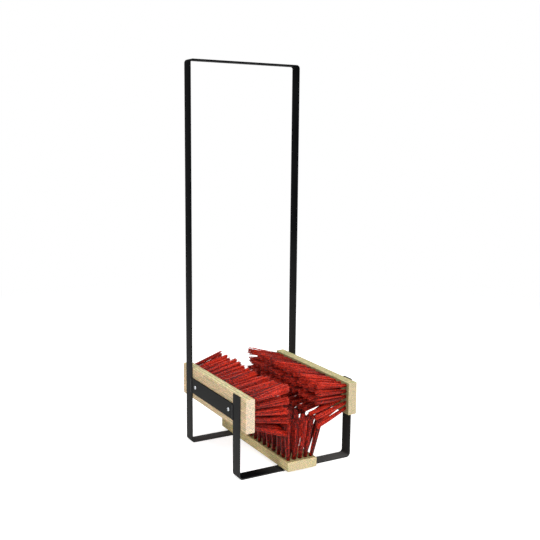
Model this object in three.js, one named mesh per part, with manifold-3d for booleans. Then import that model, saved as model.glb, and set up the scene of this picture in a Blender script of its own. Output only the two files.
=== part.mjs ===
// A boot scraper with a tall carrying hoop. Sizes are in millimetres and +Z is up.
//
// The floor is Z = 0, X runs from left to right and Y from front to rear, and the
// origin lies on the floor under the middle of the frame.
//
// Two bent flat bars stand across the scraper: a low open frame in front and a tall
// closed hoop behind, whose top is the handle. A flat rail on each side is butted
// between their uprights, and a third rail lies on top of their floor bars. Each rail
// carries one wooden brush block on two screws, with its bristles towards the middle.
// A boot is drawn through the channel that the three brushes leave free.

import * as THREE from 'three';
import { mergeVertices } from 'three/addons/utils/BufferGeometryUtils.js';
import Module from 'manifold-3d';

const wasm = await Module();
wasm.setup();

// Driving dimensions

const bar = { width: 30, thickness: 3 };
const hoop = { width: 282, height: 880, insideBend: 5, weldWidth: 3 };
const frontInsideBend = 7;
const framePitch = 243; // from the front frame's middle line to the hoop's
const uprightPastBlock = 0.5; // from a side block's top up to the front uprights' ends

const rail = { width: 35, thickness: 3 };
const sideRailHeight = 141; // middle line of the side rails above the floor
const sideBlockRise = 4; // middle line of a side block above its rail's
const lowerRailInset = 3; // from a floor bar's outer edge to the end of the lower rail

const block = { length: 320, width: 73, thickness: 21, edgeRadius: 2 };
const sliceThickness = 2; // the face of a block that the bristles are rooted in

const bootChannel = 66; // between the tips of the side brushes
const rowPitch = 14;
const rowEdge = 8; // least distance from an outer row to the block's long edge
const columnPitch = 21;
const columnEdge = 12; // least distance from an end column to the block's end
const endColumnFlare = THREE.MathUtils.degToRad(4); // lean of the end columns off the block

// How the bristles of each brush have settled: the lean of its middle row, which is
// downwards at the sides and to the right below, and the flare of its outer rows from it
const settled = {
  left: { lean: THREE.MathUtils.degToRad(3.5), flare: THREE.MathUtils.degToRad(12) },
  right: { lean: THREE.MathUtils.degToRad(3.5), flare: THREE.MathUtils.degToRad(17) },
  lower: { lean: THREE.MathUtils.degToRad(7), flare: THREE.MathUtils.degToRad(11) },
};

const strand = { rootWidth: 2.6, tipWidth: 3.2, offset: 3 };
const strandFan = THREE.MathUtils.degToRad(2); // lean of a strand away from its twin

const screw = { headDiameter: 8.6, headOffFloor: 0.5, shankDiameter: 4, tipLength: 3 };
const screwFromUpright = 21;
const woodPastScrew = 3; // left between a screw's point and the bristles' slice
const cross = { width: 1.1, length: 4.8, depth: 1.2 }; // driver recess in a screw's head

const buttBead = { width: 9, height: 1.6 };
const cornerBeadOffFloor = 0.6;

const clearance = 0.3; // between pieces that touch

// Dependent dimensions

const frameDepth = framePitch + bar.width;
const railSpan = framePitch - bar.width; // clear space between front and rear bars
const hoopBend = hoop.insideBend + bar.thickness; // outside radius
const frontBend = frontInsideBend + bar.thickness;

const sideSeat = Math.max(bar.thickness, rail.thickness) + clearance; // clears the uprights
const lowerSeat = rail.thickness + clearance;
const bristleLength = (hoop.width - bootChannel) / 2 - sideSeat - block.thickness;

const sideBlockHeight = sideRailHeight + sideBlockRise;
const frontFrameHeight = sideBlockHeight + block.width / 2 + uprightPastBlock;

const rows = Math.floor((block.width - 2 * rowEdge) / rowPitch) + 1;
const columns = Math.floor((block.length - 2 * columnEdge) / columnPitch) + 1;
const outerRow = ((rows - 1) / 2) * rowPitch;
const endColumn = ((columns - 1) / 2) * columnPitch;

const screwSpacing = railSpan - 2 * screwFromUpright;
const holeDiameter = screw.shankDiameter + 2 * clearance;
const headHeight = bar.thickness - screw.headOffFloor;

// Fineness of the round shapes: an arc has twice as many flats as its steps

const bendSteps = 3;
const roundSteps = 2;
const domeSteps = 5;
const screwSides = 16;
const mergeDistance = 1e-4; // corners that lie closer than this are one corner

// Finishes

const blackPaint = { color: 0x26272a, roughness: 0.45, metalness: 0.3 };
const paintedWeld = { color: 0x1a1a1c, roughness: 0.6, metalness: 0.3 };
const rawWood = { color: 0xdcc8a0, roughness: 0.8, metalness: 0 };
const redBristle = { color: 0xb3261f, roughness: 0.5, metalness: 0 };
const zincPlate = { color: 0xb9bcc0, roughness: 0.35, metalness: 0.9 };

// Helpers

// Adds one named sub-part to a group.
function addPart(group, name, geometry, finish) {
  const mesh = new THREE.Mesh(geometry, new THREE.MeshStandardMaterial(finish));
  mesh.name = name;
  group.add(mesh);
  return mesh;
}

// Turns a closed geometry into a solid, with its corners merged and empty triangles left out.
function toSolid(geometry) {
  const bare = geometry.clone();
  bare.deleteAttribute('normal');
  bare.deleteAttribute('uv');
  const merged = mergeVertices(bare, mergeDistance);
  const index = merged.index.array;
  const triangles = [];
  for (let i = 0; i < index.length; i += 3) {
    const [a, b, c] = index.slice(i, i + 3);
    if (a !== b && b !== c && c !== a) {
      triangles.push(a, b, c);
    }
  }
  return new wasm.Manifold(new wasm.Mesh({
    numProp: 3,
    vertProperties: new Float32Array(merged.attributes.position.array),
    triVerts: new Uint32Array(triangles),
  }));
}

// Turns a solid back into a geometry.
function toGeometry(solid) {
  const mesh = solid.getMesh();
  const geometry = new THREE.BufferGeometry();
  geometry.setAttribute('position', new THREE.BufferAttribute(mesh.vertProperties, 3));
  geometry.setIndex(new THREE.BufferAttribute(mesh.triVerts, 1));
  geometry.computeVertexNormals();
  return geometry;
}

// Extrudes an outline drawn in X and Z along Y, centred on Y = 0.
function extrudeAlongY(outline, length, curveSegments) {
  const geometry = new THREE.ExtrudeGeometry(outline, {
    depth: length,
    bevelEnabled: false,
    curveSegments,
  });
  geometry.rotateX(Math.PI / 2);
  geometry.translate(0, length / 2, 0);
  return geometry;
}

// Extrudes an outline drawn in Y and Z along X, centred on X = 0.
function extrudeAlongX(outline, length, curveSegments) {
  const geometry = extrudeAlongY(outline, length, curveSegments);
  geometry.rotateZ(Math.PI / 2);
  return geometry;
}

// A cylinder along Z, from one height to another.
function rod(diameter, bottom, top) {
  const geometry = new THREE.CylinderGeometry(diameter / 2, diameter / 2, top - bottom, screwSides);
  geometry.rotateX(Math.PI / 2);
  geometry.translate(0, 0, (bottom + top) / 2);
  return geometry;
}

// Bent flat bars

// Closed loop with a slit in the middle of its floor bar, which the closing weld fills.
function hoopOutline(width, height, thickness, bend, slit) {
  const x = width / 2 - bend;
  const low = bend;
  const high = height - bend;
  const inner = bend - thickness;
  const outline = new THREE.Shape();
  outline.moveTo(slit / 2, 0);
  outline.lineTo(x, 0);
  outline.absarc(x, low, bend, -Math.PI / 2, 0, false);
  outline.absarc(x, high, bend, 0, Math.PI / 2, false);
  outline.absarc(-x, high, bend, Math.PI / 2, Math.PI, false);
  outline.absarc(-x, low, bend, Math.PI, 1.5 * Math.PI, false);
  outline.lineTo(-slit / 2, 0);
  outline.lineTo(-slit / 2, thickness);
  outline.absarc(-x, low, inner, 1.5 * Math.PI, Math.PI, true);
  outline.absarc(-x, high, inner, Math.PI, Math.PI / 2, true);
  outline.absarc(x, high, inner, Math.PI / 2, 0, true);
  outline.absarc(x, low, inner, 0, -Math.PI / 2, true);
  outline.lineTo(slit / 2, thickness);
  outline.closePath();
  return outline;
}

// Open frame: two uprights joined by a floor bar.
function openFrameOutline(width, height, thickness, bend) {
  const x = width / 2 - bend;
  const inner = bend - thickness;
  const outline = new THREE.Shape();
  outline.moveTo(-width / 2, height);
  outline.lineTo(-width / 2, bend);
  outline.absarc(-x, bend, bend, Math.PI, 1.5 * Math.PI, false);
  outline.absarc(x, bend, bend, -Math.PI / 2, 0, false);
  outline.lineTo(width / 2, height);
  outline.lineTo(width / 2 - thickness, height);
  outline.absarc(x, bend, inner, 0, -Math.PI / 2, true);
  outline.absarc(-x, bend, inner, 1.5 * Math.PI, Math.PI, true);
  outline.lineTo(-width / 2 + thickness, height);
  outline.closePath();
  return outline;
}

function addFrames(group) {
  const slit = hoop.weldWidth + 2 * clearance;
  const hoopShape = hoopOutline(hoop.width, hoop.height, bar.thickness, hoopBend, slit);
  const rearHoop = extrudeAlongY(hoopShape, bar.width, bendSteps);
  addPart(group, 'rear_hoop', rearHoop, blackPaint).position.y = framePitch / 2;

  // The weld is dressed back a little from the faces that the rail and the floor meet.
  const weldHeight = bar.thickness - clearance;
  const weld = new THREE.BoxGeometry(hoop.weldWidth, bar.width, weldHeight);
  const closingWeld = addPart(group, 'hoop_closing_weld', weld, paintedWeld);
  closingWeld.position.set(0, framePitch / 2, clearance + weldHeight / 2);

  const frameShape = openFrameOutline(hoop.width, frontFrameHeight, bar.thickness, frontBend);
  const frontFrame = extrudeAlongY(frameShape, bar.width, bendSteps);
  addPart(group, 'front_frame', frontFrame, blackPaint).position.y = -framePitch / 2;
}

// One brush with its rail
//
// Each is drawn with X across its width, Y along its length and Z from the rail's outer
// face, Z = 0, towards the bristles' tips. The rail's middle line is X = 0. Seat is the
// height of the block's back, and shift is how far the block lies off the rail along X.

// Flat bar with two clearance holes for the screws.
function railGeometry(length) {
  const flat = new THREE.BoxGeometry(rail.width, length, rail.thickness);
  flat.translate(0, 0, rail.thickness / 2);
  return toGeometry(drill(toSolid(flat), -clearance, rail.thickness + clearance));
}

// Cuts the two screw holes between two heights.
function drill(solid, bottom, top) {
  let drilled = solid;
  for (const end of [-1, 1]) {
    const hole = rod(holeDiameter, bottom, top);
    hole.translate(0, (end * screwSpacing) / 2, 0);
    drilled = drilled.subtract(toSolid(hole));
  }
  return drilled;
}

// Height of a screw's point inside the block.
function screwPoint(seat) {
  return blockFace(seat) - sliceThickness - clearance - woodPastScrew;
}

// Height of the face that the bristles stand on.
function blockFace(seat) {
  return seat + block.thickness;
}

// Layer of a block between two heights, with its two long edges at the back or the face
// rounded.
function blockLayer(bottom, top, roundedBack) {
  const side = block.width / 2;
  const radius = Math.min(block.edgeRadius, (top - bottom) / 2);
  const x = side - radius;
  const outline = new THREE.Shape();
  if (roundedBack) {
    outline.moveTo(-x, bottom);
    outline.absarc(x, bottom + radius, radius, -Math.PI / 2, 0, false);
    outline.lineTo(side, top);
    outline.lineTo(-side, top);
    outline.absarc(-x, bottom + radius, radius, Math.PI, 1.5 * Math.PI, false);
  } else {
    outline.moveTo(-side, bottom);
    outline.lineTo(side, bottom);
    outline.absarc(x, top - radius, radius, 0, Math.PI / 2, false);
    outline.absarc(-x, top - radius, radius, Math.PI / 2, Math.PI, false);
  }
  outline.closePath();
  return extrudeAlongY(outline, block.length, roundSteps);
}

// Wooden block with two pilot holes in its back.
function blockGeometry(seat, shift) {
  const layer = blockLayer(seat, blockFace(seat) - sliceThickness - clearance, true);
  layer.translate(shift, 0, 0);
  return toGeometry(drill(toSolid(layer), seat - clearance, screwPoint(seat) + clearance));
}

// Corners of a level square, counter-clockwise seen from above.
function squareCorners(centre, width) {
  const half = width / 2;
  const offsets = [[-half, -half], [half, -half], [half, half], [-half, half]];
  return offsets.map(([x, y]) => new THREE.Vector3(x, y, 0).add(centre));
}

// One strand between two points: square, and a little wider at its tip.
function strandGeometry(root, tip) {
  const low = squareCorners(root, strand.rootWidth);
  const high = squareCorners(tip, strand.tipWidth);
  const corners = [high[0], high[1], high[2], high[2], high[3], high[0]];
  corners.push(low[0], low[3], low[2], low[2], low[1], low[0]);
  for (let i = 0; i < low.length; i += 1) {
    const j = (i + 1) % low.length;
    corners.push(low[i], low[j], high[j], high[j], high[i], low[i]);
  }
  return new THREE.BufferGeometry().setFromPoints(corners);
}

// Roots and tips of all strands. Each tuft is two strands, side by side along the block,
// or across it on the brush whose outer tips reach between those of the others.
function strandEnds(face, { lean, flare }, across) {
  const ends = [];
  for (let row = 0; row < rows; row += 1) {
    const x = row * rowPitch - outerRow;
    const rowLean = lean + (flare * x) / outerRow;
    for (let column = 0; column < columns; column += 1) {
      const y = column * columnPitch - endColumn;
      const columnLean = (endColumnFlare * y * Math.abs(y)) / (endColumn * endColumn);
      for (const twin of [-1, 1]) {
        const side = new THREE.Vector3(across ? twin : 0, across ? 0 : twin, 0);
        const root = new THREE.Vector3(x, y, face).addScaledVector(side, strand.offset);
        const reach = new THREE.Vector3(Math.tan(rowLean), Math.tan(columnLean), 1);
        reach.addScaledVector(side, Math.tan(strandFan)).multiplyScalar(bristleLength);
        ends.push({ root, tip: reach.add(root) });
      }
    }
  }
  return ends;
}

// Bristles on the slice of their block. Their roots lie on its face, and their tips are
// trimmed level.
function bristleGeometry(seat, stance, across) {
  const face = blockFace(seat);
  const pieces = [toSolid(blockLayer(face - sliceThickness, face, false))];
  for (const { root, tip } of strandEnds(face, stance, across)) {
    pieces.push(toSolid(strandGeometry(root, tip)));
  }
  return toGeometry(wasm.Manifold.union(pieces));
}

// Domed wood screw with a cross recess. Its head lies outside the rail, below Z = 0.
function screwGeometry(seat) {
  const point = screwPoint(seat);
  const profile = [];
  for (let step = 0; step <= domeSteps; step += 1) {
    const angle = ((Math.PI / 2) * step) / domeSteps;
    const radius = (Math.sin(angle) * screw.headDiameter) / 2;
    profile.push(new THREE.Vector2(radius, -clearance - headHeight * Math.cos(angle)));
  }
  profile.push(new THREE.Vector2(screw.shankDiameter / 2, -clearance));
  profile.push(new THREE.Vector2(screw.shankDiameter / 2, point - screw.tipLength));
  profile.push(new THREE.Vector2(0, point));
  const turned = new THREE.LatheGeometry(profile, screwSides);
  turned.rotateX(Math.PI / 2);
  let solid = toSolid(turned);
  for (const [width, length] of [[cross.width, cross.length], [cross.length, cross.width]]) {
    const slot = new THREE.BoxGeometry(width, length, 2 * cross.depth);
    slot.translate(0, 0, -clearance - headHeight);
    solid = solid.subtract(toSolid(slot));
  }
  return toGeometry(solid);
}

// Weld across a butt joint, on the outer faces: flat beneath, with a domed top.
function buttBeadGeometry() {
  const half = buttBead.width / 2;
  const radius = (half * half + buttBead.height * buttBead.height) / (2 * buttBead.height);
  const sweep = Math.asin(half / radius);
  const top = -clearance - buttBead.height;
  const outline = new THREE.Shape();
  outline.absarc(0, top + radius, radius, -Math.PI / 2 - sweep, -Math.PI / 2 + sweep, false);
  outline.closePath();
  return extrudeAlongX(outline, rail.width, bendSteps);
}

// Weld in the corner between the lower rail's underside and a floor bar's inner edge.
function cornerBeadGeometry() {
  const leg = bar.thickness - cornerBeadOffFloor;
  const outline = new THREE.Shape();
  outline.moveTo(-clearance, -clearance);
  outline.lineTo(-clearance - leg, -clearance);
  outline.quadraticCurveTo(-clearance - leg, -clearance - leg, -clearance, -clearance - leg);
  outline.closePath();
  return extrudeAlongX(outline, rail.width, bendSteps);
}

// Adds a rail with the brush, the screws and the welds that it carries.
function addBrush(group, name, { seat, railLength, shift, stance, across, beadGeometry }) {
  addPart(group, `${name}_rail`, railGeometry(railLength), blackPaint);
  addPart(group, `${name}_brush_block`, blockGeometry(seat, shift), rawWood);
  const strands = bristleGeometry(seat, stance, across);
  addPart(group, `${name}_bristles`, strands, redBristle).position.x = shift;
  for (const [end, side] of [['front', -1], ['rear', 1]]) {
    const piece = addPart(group, `${name}_${end}_screw`, screwGeometry(seat), zincPlate);
    piece.position.y = (side * screwSpacing) / 2;
    const bead = addPart(group, `${name}_${end}_weld`, beadGeometry(), paintedWeld);
    bead.position.y = (side * railSpan) / 2;
    bead.rotation.z = side < 0 ? Math.PI : 0;
  }
}

function addSideBrushes(group) {
  for (const [name, side] of [['left', -1], ['right', 1]]) {
    const turned = new THREE.Group();
    turned.position.set((side * hoop.width) / 2, 0, sideRailHeight);
    turned.rotation.y = (-side * Math.PI) / 2;
    group.add(turned);
    addBrush(turned, name, {
      seat: sideSeat,
      railLength: railSpan - 2 * clearance,
      shift: side * sideBlockRise,
      stance: { lean: -side * settled[name].lean, flare: settled[name].flare },
      across: false,
      beadGeometry: buttBeadGeometry,
    });
  }
}

function addLowerBrush(group) {
  const raised = new THREE.Group();
  raised.position.z = bar.thickness + clearance;
  group.add(raised);
  addBrush(raised, 'lower', {
    seat: lowerSeat,
    railLength: frameDepth - 2 * lowerRailInset,
    shift: 0,
    stance: settled.lower,
    across: true,
    beadGeometry: cornerBeadGeometry,
  });
}

const scraper = new THREE.Group();
addFrames(scraper);
addSideBrushes(scraper);
addLowerBrush(scraper);

export default scraper;
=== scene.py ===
"""Boot scraper: a welded flat-bar frame with three wooden brush blocks and their red bristles.

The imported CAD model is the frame: +Z is up, Y runs from the low front frame to the tall
rear hoop, X from left to right, and every length is in metres.
"""

import logging
import math
from dataclasses import dataclass
from enum import Enum
from typing import Any, Iterable, Sequence

import bmesh
import bpy
import numpy as np
from bpy.types import Material, NodeSocket, NodeTree, Object
from mathutils import Matrix, Vector


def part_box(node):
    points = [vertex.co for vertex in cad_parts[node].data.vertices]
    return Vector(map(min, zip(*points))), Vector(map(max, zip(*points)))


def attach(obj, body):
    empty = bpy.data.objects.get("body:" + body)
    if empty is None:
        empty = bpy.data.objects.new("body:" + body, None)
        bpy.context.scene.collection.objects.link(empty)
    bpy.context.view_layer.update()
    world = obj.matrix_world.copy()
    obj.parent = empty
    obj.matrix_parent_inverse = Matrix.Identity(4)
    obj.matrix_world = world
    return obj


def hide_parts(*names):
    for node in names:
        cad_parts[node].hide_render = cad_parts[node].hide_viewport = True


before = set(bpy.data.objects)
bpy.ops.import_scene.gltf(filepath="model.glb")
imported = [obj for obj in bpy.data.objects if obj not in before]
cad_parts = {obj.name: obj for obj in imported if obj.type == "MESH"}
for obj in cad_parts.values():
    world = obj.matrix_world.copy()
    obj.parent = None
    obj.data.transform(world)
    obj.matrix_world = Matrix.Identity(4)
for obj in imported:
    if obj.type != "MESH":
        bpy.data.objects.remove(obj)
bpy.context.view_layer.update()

LOG = logging.getLogger("boot_scraper")
MM = 0.001
SEED = 71
WEAR_SEED = 2 * SEED
MERGE_DISTANCE = 0.002 * MM
GOLDEN_ANGLE = math.pi * (3 - math.sqrt(5))
WHITE = (1.0, 1.0, 1.0, 1.0)

Array = np.ndarray
Pair = tuple[float, float]
Point = tuple[float, float, float]


# Materials and their nodes

def linear(hex_colour: str) -> tuple[float, ...]:
    """Turns a colour written in sRGB hex into linear RGBA.

    Args:
        hex_colour: Colour such as "#b3261f".

    Returns:
        Red, green, blue and alpha, each from 0 to 1.
    """
    values = [int(hex_colour[i:i + 2], 16) / 255 for i in (1, 3, 5)]
    channels = [v / 12.92 if v <= 0.04045 else ((v + 0.055) / 1.055) ** 2.4 for v in values]
    return (*channels, 1.0)


def add_node(tree: NodeTree, kind: str, inputs: dict[Any, Any] | Sequence[Any] = (),
             output: str | None = None, stops: Iterable[tuple[float, str]] = (),
             **settings: Any) -> NodeSocket | None:
    """Adds one node with its settings and links.

    Args:
        tree: Node tree that gets the node.
        kind: Node type name after its "ShaderNode", such as "TexNoise".
        inputs: Values of the sockets, or the outputs that feed them, in order or by name.
        output: Name of the output that is wanted, where it isn't the first one in use.
        stops: Positions on a colour ramp from 0 to 1, each with its sRGB hex colour.
        settings: Properties of the node itself.

    Returns:
        The output that is wanted, or None where the node has no outputs.
    """
    node = tree.nodes.new(f"ShaderNode{kind}")
    for name, value in settings.items():
        setattr(node, name, value)
    for socket, value in inputs.items() if isinstance(inputs, dict) else enumerate(inputs):
        if isinstance(value, NodeSocket):
            tree.links.new(value, node.inputs[socket])
        else:
            node.inputs[socket].default_value = value
    for index, (position, colour) in enumerate(stops):
        elements = node.color_ramp.elements
        element = elements[index] if index < 2 else elements.new(position)
        element.position = position
        element.color = linear(colour)
    if output:
        return node.outputs[output]
    return next((socket for socket in node.outputs if socket.enabled), None)


def new_material(name: str) -> tuple[Material, NodeTree]:
    """Makes an empty node material.

    Args:
        name: Name of the material.

    Returns:
        The material and its node tree.
    """
    material = bpy.data.materials.new(name)
    material.use_nodes = True
    material.node_tree.nodes.clear()
    return material, material.node_tree


def close_material(tree: NodeTree, inputs: dict[str, Any], relief: NodeSocket | None = None,
                   depth: float = 0.0, strength: float = 1.0) -> None:
    """Ends a tree with a Principled shader, and a bump where the surface has a relief.

    Args:
        tree: Node tree of the material.
        inputs: Values and links of the shader's sockets.
        relief: Height of the surface, from 0 to 1.
        depth: Real depth of the relief in metres.
        strength: Share of the relief that shows.
    """
    if relief is not None:
        bump = {"Height": relief, "Distance": depth, "Strength": strength}
        inputs["Normal"] = add_node(tree, "Bump", bump)
    add_node(tree, "OutputMaterial", [add_node(tree, "BsdfPrincipled", inputs)])


def stretched(tree: NodeTree, cell: Point | float, shift: Point = (0, 0, 0)) -> NodeSocket:
    """Object coordinates divided by the real size of a pattern's cell.

    Args:
        tree: Node tree of the material.
        cell: Size of a cell in metres, the same all ways or along X, Y and Z.
        shift: Move of the pattern, in cells.

    Returns:
        The vector for a texture of scale 1.
    """
    place = add_node(tree, "TexCoord", output="Object")
    scale = tuple(np.ones(3) / cell)
    return add_node(tree, "Mapping", {"Vector": place, "Location": shift, "Scale": scale})


def facing(tree: NodeTree, way: Point, cosines: Pair, share: float = 1.0,
           both_ways: bool = False) -> NodeSocket:
    """How squarely a surface faces a direction: none up to one cosine, all from the other.

    Args:
        tree: Node tree of the material.
        way: The direction.
        cosines: Cosines of the angle to it where the share starts and where it is reached.
        share: Value where the surface faces the direction.
        both_ways: Whether the opposite direction counts as well.

    Returns:
        Value from 0 to the share.
    """
    normal = add_node(tree, "NewGeometry", output="Normal")
    cosine = add_node(tree, "VectorMath", [normal, way], operation="DOT_PRODUCT")
    if both_ways:
        cosine = add_node(tree, "Math", [cosine], operation="ABSOLUTE")
    return add_node(tree, "MapRange", [cosine, *cosines, 0.0, share])


def seen(tree: NodeTree) -> NodeSocket:
    """Tells rays that show white from rays that light the object.

    Args:
        tree: Node tree of the floor or the world.

    Returns:
        One for rays from the camera, a reflection or a clear material, and else zero.
    """
    shown = add_node(tree, "LightPath", output="Is Camera Ray")
    rays = shown.node.outputs
    for kind in ("Is Glossy Ray", "Is Transmission Ray"):
        shown = add_node(tree, "Math", [shown, rays[kind]], operation="MAXIMUM")
    return shown


@dataclass(frozen=True)
class SatinBlackPaint:
    """Sprayed enamel on mild steel bar: near-black and matt satin, with a faint orange peel.

    Lighter grey reaches up from the floor, which is painted bounce light from the floor. More grey
    lies on the two floor bars, dust and painted light together, but none at the front left, under
    the left brush.
    """

    name: str = "satin_black_enamel_on_steel"
    tones: tuple[str, str] = ("#08090a", "#111213")
    tone_stops: Pair = (0.35, 0.70)
    dust: str = "#565655"
    film_share: float = 0.40
    film_height: float = 0.50
    lying_share: float = 1.1
    lying_slope: Point = (5.3, 4.4, -20.0)
    lying_cosines: Pair = (0.6, 0.95)
    roughness: Pair = (0.45, 0.55)
    specular: float = 0.007
    peel_size: float = 2.2 * MM
    peel_depth: float = 0.05 * MM
    peel_strength: float = 0.6
    patch_size: float = 45 * MM
    patch_range: Pair = (0.3, 0.7)

    def material(self) -> Material:
        """Builds the paint: broad faint patches in tone and gloss, a fine peel, dust and painted
        light.

        Returns:
            The finish.
        """
        material, tree = new_material(self.name)
        patches = add_node(tree, "TexNoise", {
            "Vector": stretched(tree, self.patch_size), "Scale": 1.0, "Detail": 4.0,
        })
        colour = add_node(tree, "ValToRGB", [patches], stops=zip(self.tone_stops, self.tones))
        place = add_node(tree, "TexCoord", output="Object")
        height = add_node(tree, "SeparateXYZ", [place], output="Z")
        # Painted bounce light: a lighter grey that is strongest at the floor and gone at the
        # bounce height.
        bounce_light = add_node(tree, "MapRange", [height, 0.0, self.film_height, self.film_share, 0.0])
        # The grey on the floor bars, dust and painted light, changes along X and Y, and ends a
        # little above the floor bars.
        slope = add_node(tree, "VectorMath", [place, self.lying_slope],
                         operation="DOT_PRODUCT")
        dust_and_light = add_node(tree, "Math", [slope, self.lying_share], use_clamp=True)
        is_up = facing(tree, (0, 0, 1), self.lying_cosines)
        dust = add_node(tree, "Mix", {0: is_up, 2: bounce_light, 3: dust_and_light})
        dusted_and_lit = add_node(tree, "Mix", {0: dust, 6: colour, 7: linear(self.dust)},
                          data_type="RGBA")
        gloss = add_node(tree, "MapRange", [patches, *self.patch_range, *self.roughness])
        peel = add_node(tree, "TexNoise", {
            "Vector": stretched(tree, self.peel_size), "Scale": 1.0, "Detail": 2.0,
        })
        close_material(tree, {
            "Base Color": dusted_and_lit, "Roughness": gloss, "Specular IOR Level": self.specular,
        }, peel, self.peel_depth, self.peel_strength)
        return material


@dataclass(frozen=True)
class CloudedMetal:
    """Metal whose surface has soft clouds, which vary its tone and stand out a little."""

    name: str
    tones: tuple[str, str]
    tone_stops: Pair
    metallic: float
    roughness: float
    specular: float
    cloud_size: float
    cloud_depth: float
    cloud_strength: float

    def material(self) -> Material:
        """Builds the clouds, from the darker tone in their hollows to the lighter one.

        Returns:
            The finish.
        """
        material, tree = new_material(self.name)
        clouds = add_node(tree, "TexNoise", {
            "Vector": stretched(tree, self.cloud_size), "Scale": 1.0, "Detail": 3.0,
        })
        colour = add_node(tree, "ValToRGB", [clouds], stops=zip(self.tone_stops, self.tones))
        close_material(tree, {
            "Base Color": colour, "Metallic": self.metallic, "Roughness": self.roughness,
            "Specular IOR Level": self.specular,
        }, clouds, self.cloud_depth, self.cloud_strength)
        return material


@dataclass(frozen=True)
class PaintedWeld(CloudedMetal):
    """Weld metal under the same enamel, without the paint's grey dust and painted light, and lumpy
    with spatter.
    """

    name: str = "enamel_over_weld_bead"
    tones: tuple[str, str] = ("#0b0b0c", "#151517")
    tone_stops: Pair = (0.4, 0.75)
    metallic: float = 0.0
    roughness: float = 0.55
    specular: float = 0.12
    cloud_size: float = 1.1 * MM
    cloud_depth: float = 0.25 * MM
    cloud_strength: float = 0.8


@dataclass(frozen=True)
class ZincPlate(CloudedMetal):
    """Bright zinc on steel screws: pale grey metal with a slightly cloudy shine."""

    name: str = "bright_zinc_plate"
    tones: tuple[str, str] = ("#a9adb2", "#c9ccd0")
    tone_stops: Pair = (0.3, 0.7)
    metallic: float = 1.0
    roughness: float = 0.34
    specular: float = 0.5
    cloud_size: float = 2.5 * MM
    cloud_depth: float = 0.03 * MM
    cloud_strength: float = 0.4


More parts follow.
